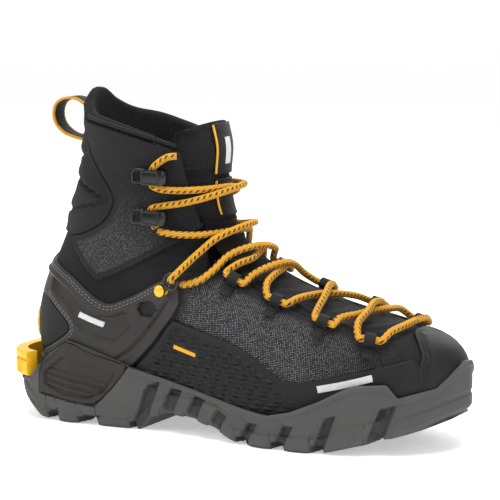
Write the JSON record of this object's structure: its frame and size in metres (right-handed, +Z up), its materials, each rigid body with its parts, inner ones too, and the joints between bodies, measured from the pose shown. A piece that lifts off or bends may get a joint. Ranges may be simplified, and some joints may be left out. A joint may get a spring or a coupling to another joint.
{
  "type": "mountaineering boot",
  "caption": "Laced ankle-high mountaineering boot: lugged sole, moulded heel frame, woven vamp, flexing padded cuff and a heel ledge for a crampon lever.",
  "frame": {"origin": "on the ground, under the middle of the boot's bounding box", "axes": "+X towards the toe, +Y towards the inner (medial) side, +Z up"},
  "size_m": [0.314, 0.1106, 0.2125],
  "materials": {
    "sole_rubber": "matte moulded",
    "midsole_foam": "matte foam",
    "footbed_foam": "matte, cloth-topped",
    "frame_plastic": "soft-touch matt",
    "stiffener": "raw",
    "shank_composite": "satin",
    "yellow_plastic": "satin",
    "yellow_metal": "satin",
    "film": "matt film",
    "woven_cloth": "speckled weave",
    "lining_cloth": "brushed knit",
    "softshell": "smooth woven",
    "stretch_knit": "ribbed knit",
    "webbing": "woven webbing",
    "dark_metal": "satin black",
    "lace_cord": "braided"
  },
  "bodies": {
    "foot": {"outsole": "sole_rubber", "midsole": "midsole_foam", "heel_insert_lateral": "frame_plastic", "heel_insert_medial": "frame_plastic", "shank_plate": "shank_composite", "lasting_board": "stiffener", "footbed": "footbed_foam", "heel_welt": "yellow_plastic", "heel_trim": "yellow_plastic", "frame_lateral": "frame_plastic", "frame_medial": "frame_plastic", "rand_lateral": "film", "rand_medial": "film", "vamp_lateral": "woven_cloth", "vamp_medial": "woven_cloth", "lining_lateral": "lining_cloth", "lining_medial": "lining_cloth", "heel_patch": "softshell", "toe_cap": "film", "heel_counter": "stiffener", "toe_puff": "stiffener", "flex_zone": "stretch_knit", "tongue_lower": "stretch_knit", "tongue_flex": "stretch_knit", "web_loop_1_lateral": "webbing", "web_loop_1_medial": "webbing", "web_loop_2_lateral": "webbing", "web_loop_2_medial": "webbing", "web_loop_3_lateral": "webbing", "web_loop_3_medial": "webbing", "web_loop_4_lateral": "webbing", "web_loop_4_medial": "webbing", "rivet_lateral": "yellow_metal", "rivet_medial": "yellow_metal", "lace_foot_a": "lace_cord", "lace_foot_b": "lace_cord", "lace_ankle_a": "lace_cord", "lace_ankle_b": "lace_cord"},
    "cuff": {"cuff_lateral": "softshell", "cuff_medial": "softshell", "achilles_pad": "softshell", "collar_sock": "stretch_knit", "collar_binding_lateral": "stretch_knit", "collar_binding_medial": "stretch_knit", "tongue_upper": "stretch_knit", "tongue_strip_lower": "webbing", "hook_upper_lateral": "dark_metal", "hook_upper_medial": "dark_metal", "hook_lower_lateral": "dark_metal", "hook_lower_medial": "dark_metal", "lace_cuff_a": "lace_cord", "lace_cuff_b": "lace_cord"},
    "tongue_tip": {"tongue_tip": "stretch_knit", "tongue_strip_upper": "webbing"},
    "pull_loop": {"pull_loop": "webbing"},
    "ring_lateral": {"lace_ring_lateral": "dark_metal"},
    "ring_medial": {"lace_ring_medial": "dark_metal"}
  },
  "joints": [
    {"name": "ankle_flex", "type": "hinge", "parent": "foot", "child": "cuff", "pos_m": [-0.077, -0.00029, 0.095], "axis": [0, 1, 0], "range_deg": [-5, 12], "stiffness_Nm_per_rad": 12, "deforming": ["flex_zone", "tongue_flex", "lace_ankle_a", "lace_ankle_b"]},
    {"name": "tongue_tip_flex", "type": "hinge", "parent": "cuff", "child": "tongue_tip", "pos_m": [-0.009, -0.00029, 0.161], "axis": [0, 1, 0], "range_deg": [-4, 25], "stiffness_Nm_per_rad": 0.4},
    {"name": "pull_loop_turn", "type": "hinge", "parent": "cuff", "child": "pull_loop", "pos_m": [-0.107, -0.00029, 0.192], "axis": [0, 0, 1], "range_deg": [-8, 8], "stiffness_Nm_per_rad": 0.05},
    {"name": "lace_ring_lateral_swivel", "type": "hinge", "parent": "foot", "child": "ring_lateral", "pos_m": [-0.03096, -0.04494, 0.0921], "axis": [-0.1376, -0.9903, -0.0195], "range_deg": [-5, 5]},
    {"name": "lace_ring_medial_swivel", "type": "hinge", "parent": "foot", "child": "ring_medial", "pos_m": [-0.03125, 0.04426, 0.09166], "axis": [-0.2094, 0.9693, -0.1287], "range_deg": [-5, 5]}
  ]
}
